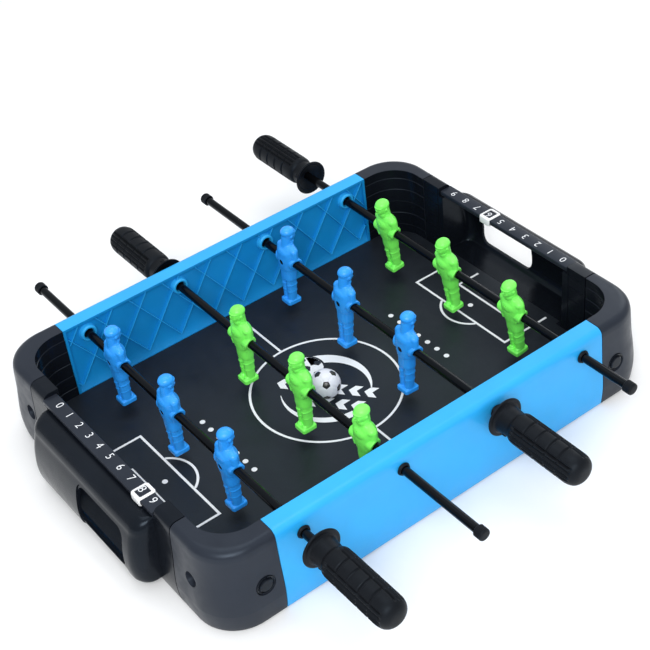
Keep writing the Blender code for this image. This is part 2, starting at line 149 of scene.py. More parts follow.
men_paint = {
    word: shaded(f"men_{word}", colour, 0.34, bump=0.10, spread=0.05, grain=1800.0, gloss=0.4)
    for word, colour in (("blue", (0.026, 0.325, 0.930)), ("green", (0.205, 1.000, 0.120)))
}


# ---- mesh helpers, mm
HALF_TURN = Matrix.Rotation(math.pi, 3, "Z")


def scaled(bm, factor):
    bmesh.ops.scale(bm, vec=(factor, factor, factor), verts=bm.verts)
    return bm


def in_mm(mesh):
    """A bmesh in mm from a mesh in metres."""
    bm = bmesh.new()
    bm.from_mesh(mesh)
    return scaled(bm, 1 / MM)


def linked(name, data):
    made = bpy.data.objects.new(name, data)
    bpy.context.scene.collection.objects.link(made)
    return made


def mark_smooth(bm, smooth):
    """Shades a bmesh round where faces meet at less than smooth degrees."""
    for face in bm.faces:
        face.smooth = True
    for edge in bm.edges:
        edge.smooth = len(edge.link_faces) == 2 and edge.calc_face_angle(0.0) < math.radians(smooth)


def as_object(name, bm, *materials, smooth=35.0, recalc=True):
    """An object from a bmesh in mm. It frees the bmesh."""
    scaled(bm, MM)
    if recalc:
        bmesh.ops.recalc_face_normals(bm, faces=bm.faces)
    mark_smooth(bm, smooth)
    mesh = bpy.data.meshes.new(name)
    bm.to_mesh(mesh)
    bm.free()
    for mat in materials:
        mesh.materials.append(mat)
    return linked(name, mesh)


def evaluated(obj):
    bpy.context.view_layer.update()
    return bpy.data.meshes.new_from_object(obj.evaluated_get(bpy.context.evaluated_depsgraph_get()))


def boolean(target, bm, operation="DIFFERENCE"):
    """Cuts a bmesh in mm from an object at once, or joins the two."""
    other = as_object("tool", bm)
    modifier = target.modifiers.new("boolean", "BOOLEAN")
    modifier.operation, modifier.solver, modifier.object = operation, "EXACT", other
    mesh = evaluated(target)
    target.modifiers.clear()
    target.data = mesh
    bpy.data.objects.remove(other)
    return target


def resmooth(obj, smooth=35.0):
    """Clears what a Boolean leaves behind, then shades the object round again."""
    bm = bmesh.new()
    bm.from_mesh(obj.data)
    bmesh.ops.dissolve_degenerate(bm, dist=1e-6, edges=bm.edges)
    mark_smooth(bm, smooth)
    bm.to_mesh(obj.data)
    bm.free()
    return obj


def softened(obj, width):
    """Rounds the sharp edges, as a mould does."""
    bevel = obj.modifiers.new("edge", "BEVEL")
    bevel.width, bevel.segments = width * MM, 2
    bevel.limit_method, bevel.angle_limit = "ANGLE", math.radians(32.0)
    bevel.use_clamp_overlap = True
    bevel.harden_normals = True
    return obj


def skin(bm, layers):
    """Faces from each ring of points to the next. A ring of one point is the tip of a cone."""
    for low, high in zip(layers, layers[1:]):
        count = max(len(low), len(high))
        for i in range(count):
            j = (i + 1) % count
            if len(low) == 1:
                bm.faces.new((low[0], high[j], high[i]))
            elif len(high) == 1:
                bm.faces.new((low[i], low[j], high[0]))
            else:
                bm.faces.new((low[i], low[j], high[j], high[i]))


def loft(rings, bm=None):
    """A solid through rings of as many points each, closed at both ends."""
    bm = bm or bmesh.new()
    layers = [[bm.verts.new(p) for p in ring] for ring in rings]
    skin(bm, layers)
    bm.faces.new(layers[0][::-1])
    bm.faces.new(layers[-1])
    return bm


def turned(bm, matrix, first=0):
    """Turns a bmesh's points about the origin, from number first on."""
    bm.verts.ensure_lookup_table()
    bmesh.ops.rotate(bm, verts=bm.verts[first:], cent=(0, 0, 0), matrix=matrix)
    return bm


def full_turn(steps):
    return [2 * math.pi * k / steps for k in range(steps)]


def turned_ring(bm, along, radii):
    """A ring of points round Y, one to each radius, or one point on the axis where they are 0."""
    if radii[0] == 0:
        return [bm.verts.new((0, along, 0))]
    return [bm.verts.new((radius * math.cos(a), along, radius * math.sin(a)))
            for a, radius in zip(full_turn(len(radii)), radii)]


def lathe(profile, segments, bm=None, axis="Y"):
    """A turned solid from (along, radius) points. A profile that ends where it starts makes a ring."""
    bm = bm or bmesh.new()
    first = len(bm.verts)
    closed = profile[0] == profile[-1]
    rings = [turned_ring(bm, along, [radius] * segments)
             for along, radius in (profile[:-1] if closed else profile)]
    if closed:
        rings.append(rings[0])
    skin(bm, rings)
    if not closed:
        for ring in (rings[0], rings[-1]):
            if len(ring) > 1:
                bm.faces.new(ring)
    turns = {"Y": Matrix.Identity(3), "Z": Matrix.Rotation(math.pi / 2, 3, "X"),
             "X": Matrix.Rotation(-math.pi / 2, 3, "Z")}
    return turned(bm, turns[axis], first)


def moved(bm, vec=(0, 0, 0), flip=(1, 1, 1), first=0):
    """Shifts a bmesh's points from number first on, then mirrors them."""
    bm.verts.ensure_lookup_table()
    for vert in bm.verts[first:]:
        vert.co = Vector([(vert.co[k] + vec[k]) * flip[k] for k in range(3)])
    return bm


def lathe_at(bm, profile, segments, vec, flip=(1, 1, 1), axis="Y"):
    """Adds a turned solid to a bmesh, shifted and then mirrored."""
    first = len(bm.verts)
    lathe(profile, segments, bm, axis)
    return moved(bm, vec, flip, first)


def box(low, high, bm=None):
    (x0, y0, z0), (x1, y1, z1) = low, high
    return loft([[(x0, y0, z), (x1, y0, z), (x1, y1, z), (x0, y1, z)] for z in (z0, z1)], bm)


def prism(outline, low, high, axis="Z", bm=None):
    """A flat outline drawn out from low to high along an axis."""
    def place(a, b, c):
        return {"Z": (a, b, c), "Y": (a, c, b), "X": (c, a, b)}[axis]
    return loft([[place(a, b, c) for a, b in outline] for c in (low, high)], bm)


def arc(cx, cy, radius, start, end, steps):
    turn = [math.radians(start + (end - start) * i / steps) for i in range(steps + 1)]
    return [(cx + radius * math.cos(a), cy + radius * math.sin(a)) for a in turn]


def rounded(ax, bx, ay, by, radius, steps):
    """The outline of a rectangle with round corners."""
    low_x, high_x, low_y, high_y = ax + radius, bx - radius, ay + radius, by - radius
    turns = ((high_x, high_y, 0), (low_x, high_y, 90), (low_x, low_y, 180), (high_x, low_y, 270))
    return [point for x, y, start in turns for point in arc(x, y, radius, start, start + 90, steps)]


def between(table, at):
    """The value at a place, read along straight lines between (at, value) points."""
    if at <= table[0][0]:
        return table[0][1]
    for (a, va), (b, vb) in zip(table, table[1:]):
        if at <= b:
            return va + (vb - va) * (at - a) / (b - a)
    return table[-1][1]


def smooth_table(table, steps):
    """The table's points with a smooth curve through them, steps to each span."""
    out = []
    for i in range(len(table) - 1):
        p0, p1, p2, p3 = (table[max(0, min(len(table) - 1, k))] for k in (i - 1, i, i + 1, i + 2))
        span = p2[0] - p1[0]
        m1, m2 = ((b[1] - a[1]) / (b[0] - a[0]) * span for a, b in ((p0, p2), (p1, p3)))
        for t in (s / steps for s in range(steps)):
            value = ((2 * t**3 - 3 * t**2 + 1) * p1[1] + (t**3 - 2 * t**2 + t) * m1
                     + (3 * t**2 - 2 * t**3) * p2[1] + (t**3 - t**2) * m2)
            out.append((p1[0] + span * t, value))
    return out + [table[-1]]


def piece(obj, body, slot, *nodes):
    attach(obj, body)
    if nodes:
        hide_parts(*nodes)


# ---- frame sections
SHOULDER_STEPS = 9
bulge = smooth_table(BULGE, 3)


def wall_levels(outer):
    """(z, outer) of the frame's outside, from the bottom to the rim."""
    levels = [(z, outer + out) for z, out in bulge]
    for i in range(1, SHOULDER_STEPS + 1):
        turn = math.radians(90 * i / SHOULDER_STEPS)
        z = RIM_Z - SHOULDER_R + SHOULDER_R * math.sin(turn)
        levels.append((z, outer - SHOULDER_R * (1 - math.cos(turn)) + 0.4 * (1 - math.sin(turn))))
    return levels


def inner_y(z):
    """The inner face of a long side at a height: it leans outwards."""
    return INNER_Y + (RIM_INNER_Y - INNER_Y) * max(0.0, (z - PITCH_Z) / (RIM_Z - PITCH_Z))


# ---- side panels: shell, lattice, bosses
BUSH_HOLE_R, BUSH_R, BUSH_BORE_R = 5.1, 4.8, 4.3
BUSH_BACK, BUSH_FACE = 155.0, OUTER_Y + 1.5
# the shallow hollow of the inner side as (z, y), from its foot to the rim
HOLLOW = (
    (11.8, 151.9), (13.4, 152.7), (16.0, 153.9), (19.0, 154.9), (24.0, 155.7), (32.0, 156.1), (50.0, 156.4),
    (66.0, 156.8), (77.0, 156.9), (80.0, 156.8), (81.6, 156.2), (82.4, 155.0))
HOLLOW_HALF, HOLLOW_MOUTH = 171.6, 145.0
LATTICE_X, LATTICE_PITCH, LATTICE_FOOT, LATTICE_TOP, LATTICE_LEAN = 14.8, 36.6, 17.5, 81.9, 0.71
RIB_CREST, RIB_TOP, RIB_FOOT = 0.4, 0.5, 0.75  # half the rib's thickness, from its crest to its foot
RIB_STEPS, RIB_CLEAR = 64, 6.6
BOSS_R, BOSS_BACK = 8.3, 158.5
BOSS = ((BOSS_BACK, BUSH_HOLE_R), (BOSS_BACK, BOSS_R + 0.9), (156.8, BOSS_R + 0.4), (155.4, BOSS_R),
        (153.0, BOSS_R - 0.3), (152.2, BOSS_R - 0.9), (152.0, BOSS_R - 1.8), (152.3, 5.6),
        (153.4, BUSH_HOLE_R), (BOSS_BACK, BUSH_HOLE_R))
BUSH = ((BUSH_BACK, BUSH_BORE_R), (BUSH_BACK, BUSH_R), (BUSH_FACE, BUSH_R), (BUSH_FACE, 5.8),
        (BUSH_FACE + 0.4, 6.1), (BUSH_FACE + 0.9, 6.0), (BUSH_FACE + 1.3, 5.6), (BUSH_FACE + 2.3, 5.3),
        (BUSH_FACE + 2.5, 4.9), (BUSH_FACE + 2.3, BUSH_BORE_R), (BUSH_BACK, BUSH_BORE_R))


def rib_run(bm, run):
    """One unbroken stretch of a rib along (x, z) points, with a section at every third of them."""
    rings = []
    for x, z in run[::3] + ([run[-1]] if (len(run) - 1) % 3 else []):
        near, far = inner_y(z) + 0.25, between(HOLLOW, z) + 1.0
        rings.append([(x - RIB_FOOT, far, z), (x - RIB_TOP, near + 0.25, z), (x - RIB_CREST, near, z),
                      (x + RIB_CREST, near, z), (x + RIB_TOP, near + 0.25, z), (x + RIB_FOOT, far, z)])
    loft(rings, bm)


def rib(bm, foot_x, lean):
    """One thin rib of the lattice, from the foot of the hollow to the rim, clear of the rod holes."""
    run = []
    for i in range(RIB_STEPS + 1):
        z = LATTICE_FOOT + (LATTICE_TOP - LATTICE_FOOT) * i / RIB_STEPS
        x = foot_x + lean * (z - LATTICE_FOOT)
        clear = abs(x) < HOLLOW_HALF - 0.4 and all(math.hypot(x - rx, z - ROD_Z) > RIB_CLEAR for rx in ROD_X)
        if clear:
            run.append((x, z))
        if run and (not clear or i == RIB_STEPS):
            if len(run) > 3:
                rib_run(bm, run)
            run = []


def side_panel(name, back):
    """A side panel, built as the back one, with a sunk lattice and a boss round each rod hole."""
    half = SEAM_X - GAP / 2
    section = [(outer, z) for z, outer in wall_levels(OUTER_Y)]
    section += [(RIM_INNER_Y, RIM_Z), (INNER_Y, PITCH_Z), (INNER_Y, STANDS_AT)]
    panel = as_object("shell", prism(section, -half, half, "X"), panel_blue)
    hollow = [(HOLLOW_MOUTH, 12.0)] + [(y, z) for z, y in HOLLOW] + [(HOLLOW_MOUTH, 82.3)]
    boolean(panel, prism(hollow, -HOLLOW_HALF, HOLLOW_HALF, "X"))
    holes = bmesh.new()
    for x in ROD_X:
        lathe_at(holes, [(140.0, BUSH_HOLE_R), (190.0, BUSH_HOLE_R)], 40, (x, 0, ROD_Z))
    boolean(panel, holes)
    bm = in_mm(panel.data)
    plain = list(bm.faces)
    for k in range(-8, 9):
        for lean in (LATTICE_LEAN, -LATTICE_LEAN):
            rib(bm, LATTICE_X + k * LATTICE_PITCH, lean)
    ribs = list(bm.faces)[len(plain):]
    for x in ROD_X:
        lathe_at(bm, BOSS, 40, (x, 0, ROD_Z))
    if not back:
        turned(bm, HALF_TURN)
    side = 1 if back else -1
    # painted shade: the inner side under the rim, its hollow and the sides of its ribs take a darker blue;
    # only the crests of the ribs keep the outside's blue and show as light lines
    for face in ribs:
        middle = face.calc_center_median()
        face.material_index = 1 if side * middle.y > inner_y(middle.z) + 1.0 else 0
    # painted shade over the inner side's faces below the rim
    for face in plain:
        middle = face.calc_center_median()
        inside = side * middle.y < HOLLOW[0][1] + 6.2 and abs(middle.x) < HOLLOW_HALF + 1
        if inside and middle.z < RIM_Z - 2.0:
            face.material_index = 1
    bpy.data.objects.remove(panel)
    made = as_object(f"{name}_shell", bm, panel_blue, panel_blue_painted_shade, smooth=30.0, recalc=False)
    piece(softened(made, 0.35), "table", "blue_panel", name)


side_panel("panel_front", False)
side_panel("panel_back", True)

for side, word in ((-1, "front"), (1, "back")):
    for i, x in enumerate(ROD_X):
        bm = moved(lathe(BUSH, 40), (x, 0, ROD_Z), (1, side, 1))
        piece(as_object(f"bush_{word}_{i + 1}", bm, rubber_black), "table", "black_satin_plastic",
              f"rod_bush_{word}_{i + 1}")


# ---- corner pieces
CORNER_STEPS = 18
CORNER_X, CORNER_Y = SEAM_X + GAP / 2 + 0.25, SEAM_Y + GAP / 2 + 0.6
STEP_LINES = (20.0, 34.0, 48.0, 62.0, 75.0)
PAD_X, PAD_Y, PAD_R = 214.5, 155.5, 7.0
PAD = ((0.0, 0), (0.0, PAD_R - 0.6), (0.3, PAD_R), (STANDS_AT - GAP, PAD_R), (STANDS_AT - GAP, 0))
PLUG = ((172.8, 0), (172.8, PLUG_R - GAP), (175.6, PLUG_R - GAP), (175.9, 8.2), (175.7, 7.6), (174.9, 7.3),
        (174.7, 6.8), (175.0, 6.4), (176.3, 6.1), (176.9, 5.4), (177.0, 4.0), (176.8, 0))
PLUG_HOLE = ((172.5, PLUG_R), (175.0, PLUG_R), (176.4, PLUG_R + 0.5), (190.0, PLUG_R + 0.5))
SCREW = ((226.3, 0), (226.3, SCREW_R), (228.0, SCREW_R), (228.9, 3.2), (229.4, 2.2), (229.6, 0))
SCREW_HOLE = ((226.0, 6.2), (230.5, 6.4), (233.0, SCREW_HOLE_R), (245.0, SCREW_HOLE_R + 0.4))
CROSS_HALF = (2.0, 0.4)  # half the length and half the width of one arm of a screw's cross recess


def corner_ring(ox, oy, ix, iy, z):
    """The outline of a corner piece at a height, from its outer and inner faces."""
    ring = [(CORNER_X, iy)]
    ring += arc(ix - INNER_CORNER_R, iy - INNER_CORNER_R, INNER_CORNER_R, 90, 0, CORNER_STEPS)
    ring += [(ix, CORNER_Y), (ox, CORNER_Y)]
    ring += arc(ox - OUTER_CORNER_R, oy - OUTER_CORNER_R, OUTER_CORNER_R, 0, 90, CORNER_STEPS)
    return [(a, b, z) for a, b in ring + [(CORNER_X, oy)]]


def corner_levels():
    """(z, outer x, outer y, inner x, inner y), with the small ledges of the inside."""
    outer_x, outer_y = wall_levels(OUTER_X), wall_levels(OUTER_Y)
    heights = sorted({z for z, _ in outer_x} | {z + d for z in STEP_LINES for d in (-0.25, 0.25)})
    levels = []
    for z in heights:
        ledge = 0.0
        if PITCH_Z < z < RIM_Z - 2:
            top = min([s for s in STEP_LINES if s > z] or [RIM_Z])
            low = max([s for s in STEP_LINES if s <= z] or [PITCH_Z])
            ledge = 0.5 * (top - z) / (top - low)
        levels.append((z, between(outer_x, z), between(outer_y, z), INNER_X + ledge, inner_y(z) + ledge))
    return levels


def corner_shell(name, flip, screw_at):
    """An L-shaped corner piece with its ledges, plug hole and counterbore."""
    rings = [[(flip[0] * a, flip[1] * b, c) for a, b, c in corner_ring(ox, oy, ix, iy, z)]
             for z, ox, oy, ix, iy in corner_levels()]
    corner = as_object(f"{name}_shell", loft(rings), black_frame)
    cutters = moved(lathe(PLUG_HOLE, 48), (PLUG_X, 0, PLUG_Z), flip)
    lathe_at(cutters, SCREW_HOLE, 48, screw_at, flip, "X")
    resmooth(boolean(corner, cutters), 30.0)
    # painted shade: the inside walls take the darker black of the ball box, which is also glossier
    corner.data.materials.append(black_box)
    for face in corner.data.polygons:
        x, y, z = (abs(v) / MM for v in face.center)
        past_x, past_y = x - (INNER_X - INNER_CORNER_R), y - (inner_y(z) - INNER_CORNER_R)
        round_part = past_x > 0 and past_y > 0
        reach = math.hypot(past_x, past_y) if round_part else max(past_x, past_y)
        if reach < INNER_CORNER_R + 1.4 and PITCH_Z < z < RIM_Z - 0.5:
            face.material_index = 1
    piece(softened(corner, 0.45), "table", "black_satin_plastic", name)


def corner_screw(word, flip, screw_at):
    """A pan-head screw with a cross recess, along +X."""
    head = as_object(f"screw_{word}", moved(lathe(SCREW, 32, None, "X"), screw_at, flip), screw_metal)
    for y, z in (CROSS_HALF, CROSS_HALF[::-1]):
        boolean(head, moved(box((228.5, -y, -z), (231.0, y, z)), screw_at, flip))
    piece(resmooth(head), "table", "screw_steel", f"corner_screw_{word}")


for word in ("front_left", "front_right", "back_left", "back_right"):
    sx, sy = 1 if "right" in word else -1, 1 if "back" in word else -1
    flip, screw_at = (sx, sy, 1), (0, SCREW_Y[0 if sx == sy else 1], SCREW_Z)
    corner_shell(f"corner_{word}", flip, screw_at)
    plug = moved(lathe(PLUG, 48), (PLUG_X, 0, PLUG_Z), flip)
    piece(as_object(f"plug_{word}", plug, black_box), "table", "black_satin_plastic", f"snap_plug_{word}")
    corner_screw(word, flip, screw_at)
    pad = moved(lathe(PAD, 32, None, "Z"), (sx * PAD_X, sy * PAD_Y, 0))
    piece(as_object(f"pad_{word}", pad, rubber_black), "table", "black_rubber", f"foot_pad_{word}")


# ---- end pieces
TAB_X, TAB_Y = 221.0, 76.0
RECESS_DEPTH, RECESS_ROUND = 1.1, 10.0
RECESS_Y, RECESS_TOP = (-70.0, 6.0), 59.5
RECESS_LEVELS = (4.0, 9.0, 12.5, 18.0, 24.0, 31.0, 38.0, 44.0, 49.5, 52.5, 55.0, 57.0, 58.5, RECESS_TOP)
OPENING_Y, OPENING_Z, OPENING_R = (-66.0, 5.0), (15.0, 56.0), 9.0
END_STEPS = 12
INSIDE_X, PAST_X = 190.0, 270.0  # where cutters start, within the table, and end, past it
MARK_LEVELS = (22.0, 36.0, 50.0, 64.0, 76.0)
MARK_PROUD, MARK_Y = 0.45, 90.5
box_profile = smooth_table(BOX_PROFILE, 4)


def box_outline(start, outer, half, radius):
    """The outline of the ball box at a height, from start outwards, with two round corners."""
    points = arc(outer - radius, -half + radius, radius, -90, 0, END_STEPS)
    points += arc(outer - radius, half - radius, radius, 0, 90, END_STEPS)
    return [(start, -half)] + points + [(start, half)]


def ball_box():
    levels = [(z, x, BOX_HALF, BOX_CORNER_R) for z, x in box_profile]
    for i in range(1, END_STEPS + 1):
        turn = math.radians(90 * i / END_STEPS)
        shrink = BOX_SHOULDER_R * (1 - math.cos(turn))
        z = BOX_TOP - BOX_SHOULDER_R * (1 - math.sin(turn))
        levels.append((z, BOX_PROFILE[-1][1] - shrink, BOX_HALF - 0.4 * shrink, BOX_CORNER_R - 0.3 * shrink))
    return loft([[(x, y, z) for x, y in box_outline(224.0, outer, half, r)] for z, outer, half, r in levels])


def box_recess():
    """The recess round the retrieval opening. It runs out at the bottom edge."""
    low, high = -RECESS_Y[1], -RECESS_Y[0]
    rings = []
    for z in RECESS_LEVELS:
        over = max(0.0, z - (RECESS_TOP - RECESS_ROUND)) / RECESS_ROUND
        inset = RECESS_ROUND * (1 - math.sqrt(max(0.0, 1 - over * over)))
        x = between(box_profile, z) - RECESS_DEPTH
        rings.append([(x, low + inset, z), (PAST_X, low + inset, z), (PAST_X, high - inset, z),
                      (x, high - inset, z)])
    return loft(rings)


def box_hollow():
    hollow = [(10.8, 244.0), (11.6, 247.6)] + [(z, x) for z, x in smooth_table(BOX_HOLLOW, 3) if z > 13.0]
    return loft([[(x, y, z) for x, y in box_outline(INSIDE_X, outer, LEDGE_Y - 0.1, 9.0)]
                 for z, outer in hollow])


def end_piece(name, side):
    """An end piece, built as the right one: two posts and the ball box with its opening."""
    half = SEAM_Y - GAP / 2 - 0.2
    section = [(outer, z) for z, outer in wall_levels(OUTER_X)] + [(INNER_X, RIM_Z), (INNER_X, STANDS_AT)]
    end = as_object("shell", prism(section, -half, half, "Y"), black_box)
    boolean(end, ball_box(), "UNION")
    boolean(end, box_recess())
    boolean(end, box((200.0, -STEP_Y, LEDGE_Z), (245.0, STEP_Y, 100.0)))
    boolean(end, box((INSIDE_X, -LEDGE_Y, 60.0), (ROOF_X, LEDGE_Y, 90.0)))
    boolean(end, box((228.0, -LEDGE_Y, BOX_TOP + 0.8), (240.0, LEDGE_Y, 90.0)))
    boolean(end, box_hollow())
    boolean(end, box((INSIDE_X, -TAB_Y - GAP, -5.0), (TAB_X + GAP, TAB_Y + GAP, 14.0)))
    opening = rounded(-OPENING_Y[1], -OPENING_Y[0], *OPENING_Z, OPENING_R, 8)
    boolean(end, prism(opening, 240.0, PAST_X, "X"))
    # the lip under the rail shuts the slit between the rail and the roof of the box
    boolean(end, box((225.5, -LEDGE_Y - 0.6, 71.4), (233.2, LEDGE_Y + 0.6, 73.2)), "UNION")
    bm = in_mm(end.data)
    # thin mould lines on the insides of the posts
    for s in (-1, 1):
        box((INNER_X - MARK_PROUD, s * MARK_Y - 0.35, 12.0), (INNER_X + 1.0, s * MARK_Y + 0.35, 84.0), bm)
        for k, z in enumerate(MARK_LEVELS):
            a, b = sorted((s * (MARK_Y + 0.3), s * (109.0 if k % 2 else 104.0)))
            box((INNER_X - MARK_PROUD, a, z - 0.3), (INNER_X + 1.0, b, z + 0.3), bm)
    if side < 0:
        turned(bm, HALF_TURN)
    bpy.data.objects.remove(end)
    made = as_object(f"{name}_shell", bm, black_box, smooth=30.0, recalc=False)
    piece(softened(made, 0.5), "table", "black_gloss_plastic", name)


end_piece("end_left", -1)
end_piece("end_right", 1)


# ---- score rails, digits and markers
DIGIT_SIZE, DIGIT_DEPTH, DIGIT_THINNED = 10.6, 0.03, -0.10
DIGIT_SHIFT = {-1: (-1.0, 2.5), 1: (0.0, 0.0)}  # the left rail's digits stand off the middle
DIGIT_X = 225.1
SLEEVE = ((74.9, 0.5, 2.4), (75.3, 0.15, 2.6), (76.0, 0.0, 2.7), (81.0, 0.0, 2.7), (82.0, 0.3, 2.7),
          (82.45, 0.8, 2.6), (82.6, 1.5, 2.4))  # (z, inset, corner radius)
SLEEVE_X, SLEEVE_HALF = (216.4, 233.4), 7.2
WINDOW_X, WINDOW_HALF = (219.6, 230.8), 4.9
QUARTER_TURN = Matrix.Rotation(math.pi / 2, 4, "Z")


def digit_mesh(text):
    curve = bpy.data.curves.new("digit", "FONT")
    curve.body, curve.size, curve.align_x, curve.align_y = text, DIGIT_SIZE * MM, "CENTER", "CENTER"
    curve.extrude, curve.offset, curve.resolution_u = DIGIT_DEPTH * MM, DIGIT_THINNED * MM, 6
    made = linked("digit", curve)
    mesh = evaluated(made)
    bpy.data.objects.remove(made)
    return mesh


def rail_digits(side, turn):
    """The digits 0 to 9 along a rail."""
    digits = bmesh.new()
    shift_x, shift_y = DIGIT_SHIFT[side]
    for k in range(10):
        y = (4.5 - k) * DIGIT_PITCH - shift_y
        place = Matrix.Translation(Vector((DIGIT_X + shift_x, -y, RAIL_Z[1] + 0.02)) * MM)
        mesh = digit_mesh(str(k))
        mesh.transform(turn @ place @ QUARTER_TURN)
        digits.from_mesh(mesh)
    return scaled(digits, 1 / MM)


def marker_sleeve(name):
    """A score marker's sleeve at the middle of the right rail, with the rail's bore and a window."""
    rings = [[(x, y, z) for x, y in rounded(SLEEVE_X[0] + inset, SLEEVE_X[1] - inset,
                                            inset - SLEEVE_HALF, SLEEVE_HALF - inset, r, 6)]
             for z, inset, r in SLEEVE]
    marker = as_object(name, loft(rings), marker_white)
    bore = rounded(RAIL_X[0] - GAP, RAIL_X[1] + GAP, RAIL_Z[0] - GAP, RAIL_Z[1] + GAP, 0.8, 3)
    boolean(marker, prism(bore, -20.0, 20.0, "Y"))
    boolean(marker, prism(rounded(*WINDOW_X, -WINDOW_HALF, WINDOW_HALF, 0.9, 4), 80.0, 90.0))
    return resmooth(marker)


for side, word in ((-1, "left"), (1, "right")):
    turn = Matrix.Rotation(math.pi if side < 0 else 0.0, 4, "Z")
    rail = prism(rounded(*RAIL_X, *RAIL_Z, 1.0, 4), -RAIL_HALF, RAIL_HALF, "Y")
    rail.transform(turn)
    piece(as_object(f"rail_{word}", rail, black_frame), "table", "black_satin_plastic", f"score_rail_{word}")
    piece(as_object(f"rail_digits_{word}", rail_digits(side, turn), board_print), "table", "white_plastic")
    marker = marker_sleeve(f"marker_{word}_sleeve")
    y = -MARKER_REST[0 if side < 0 else 1] * DIGIT_PITCH
    marker.data.transform(turn @ Matrix.Translation(Vector((0, y, 0)) * MM))
    piece(softened(marker, 0.3), f"marker_{word}", "white_plastic", f"score_marker_{word}")


# ---- pitch board and its print
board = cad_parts["pitch_board"]  # the CAD's own mesh, only painted
board.data.materials.clear()
board.data.materials.append(board_black)

PRINT_LOW, PRINT_TOP = PITCH_Z - 0.02, PITCH_Z + 0.05
LINE = 2.3
CIRCLE_R = 70.5
AREA_X, AREA_Y = 162.2, 63.4
GOAL_X, GOAL_Y = 190.0, 32.1
SPOT_X, SPOT_R = 176.4, 2.6
AREA_ARC_HALF = 24.9
GOAL_LINE = 215.6
DOTS_X, DOT_PITCH = 110.1, 13.54
EMBLEM_BALL, EMBLEM_BALL_R, EMBLEM_RING = (2.5, 34.5), 16.5, 1.8
EMBLEM_PATCHES = tuple((13.0, 72 * k - 2, 72 * k + 34, 3.9) for k in range(5)) + ((0.0, 0, -2, 5.0),)
PATCH_TOP = PRINT_TOP + 0.02
CHEVRON = ((0.0, 0.0), (7.5, 0.0), (12.5, 6.5), (7.5, 13.0), (0.0, 13.0), (5.0, 6.5))
CHEVRON_PITCH = 14.6
CHEVRON_ROWS = ((-48.0, 3, -7.0), (20.0, 2, -7.0), (-40.0, 4, 12.5))  # (start, how many, offset)
CHEVRON_TURN = math.radians(129)
ALONG, ACROSS = (math.cos(CHEVRON_TURN), math.sin(CHEVRON_TURN)), (-0.777, -0.629)  # square to each other


def bar(bm, ax, bx, ay, by):
    box((min(ax, bx), min(ay, by), PRINT_LOW), (max(ax, bx), max(ay, by), PRINT_TOP), bm)


def upright(bm, x, half):
    """A line across the pitch at x, as long as the area or goal box that it closes."""
    bar(bm, x - LINE / 2, x + LINE / 2, -half - LINE / 2, half + LINE / 2)


def ring_part(bm, cx, cy, inner, outer, start, end, steps=48, top=PRINT_TOP):
    """Part of a ring. inner and outer are radii, or functions of the way along, 0 to 1."""
    def at(value, t):
        return value(t) if callable(value) else value
    whole = abs(end - start) >= 360
    count = steps if whole else steps + 1
    low, high = [], []
    for z, row in ((PRINT_LOW, low), (top, high)):
        for i in range(count):
            t = i / steps
            a = math.radians(start + (end - start) * t)
            row.append([bm.verts.new((cx + at(r, t) * math.cos(a), cy + at(r, t) * math.sin(a), z))
                        for r in (inner, outer)])
    for i in range(steps):
        j = (i + 1) % count
        (a, b), (c, d), (e, f), (g, h) = low[i], low[j], high[i], high[j]
        for corners in ((e, f, h, g), (a, c, d, b), (b, d, h, f), (a, e, g, c)):
            bm.faces.new(corners)
    if not whole:
        for i in (0, -1):
            bm.faces.new((low[i][0], low[i][1], high[i][1], high[i][0]))


def spot(bm, x, y, r):
    prism([(x + a, y + b) for a, b in arc(0, 0, r, 0, 345, 23)], PRINT_LOW, PRINT_TOP, bm=bm)


bm = bmesh.new()
ring_part(bm, 0, 0, CIRCLE_R - LINE / 2, CIRCLE_R + LINE / 2, 0, 360, 144)
for s in (-1, 1):
    bar(bm, -LINE / 2, LINE / 2, s * (CIRCLE_R + LINE / 2 - 0.2), s * (INNER_Y - 0.6))
    for x, y in ((AREA_X, AREA_Y), (GOAL_X, GOAL_Y)):
        upright(bm, s * x, y)
        for t in (-1, 1):
            bar(bm, s * (x + LINE / 2), s * GOAL_LINE, t * y - LINE / 2, t * y + LINE / 2)
    arc_r = math.hypot(SPOT_X - AREA_X, AREA_ARC_HALF)
    spread = math.degrees(math.acos((SPOT_X - AREA_X + LINE / 2) / arc_r))
    middle = 180 if s > 0 else 0
    ring_part(bm, s * SPOT_X, 0, arc_r - LINE / 2, arc_r + LINE / 2, middle - spread, middle + spread)
    spot(bm, s * SPOT_X, 0, SPOT_R)
    for k in range(-3, 4):
        spot(bm, s * DOTS_X, k * DOT_PITCH, SPOT_R)
# the emblem: two swooshes, a printed football and rows of chevrons
ring_part(bm, 0, 0, lambda t: 36.0 + 5.0 * t ** 2, lambda t: 48.3 - 6.6 * t, 76, -43)
ring_part(bm, 0, 0, lambda t: 42.0 - 2.6 * math.sin(2.2 * t), lambda t: 42.5 + 4.6 * t, 151, 268)
spot(bm, *EMBLEM_BALL, EMBLEM_BALL_R)
for start, count, offset in CHEVRON_ROWS:
    for k in range(count):
        outline = [(start + CHEVRON_PITCH * k + a, offset + b) for a, b in CHEVRON]
        prism([(a * ALONG[0] + b * ACROSS[0], a * ALONG[1] + b * ACROSS[1]) for a, b in outline],
              PRINT_LOW, PRINT_TOP, bm=bm)
piece(as_object("pitch_print", bm, board_print), "table", "pitch_board")
bm = bmesh.new()
for reach, place, turn, size in EMBLEM_PATCHES:
    x = EMBLEM_BALL[0] + reach * math.cos(math.radians(place))
    y = EMBLEM_BALL[1] + reach * math.sin(math.radians(place))
    prism([(x + c, y + d) for c, d in arc(0, 0, size, turn, turn + 288, 4)], PRINT_LOW, PATCH_TOP, bm=bm)
ring_part(bm, *EMBLEM_BALL, EMBLEM_BALL_R, EMBLEM_BALL_R + EMBLEM_RING, 0, 360, 64, PATCH_TOP)
piece(as_object("pitch_print_patches", bm, board_black), "table", "pitch_board")


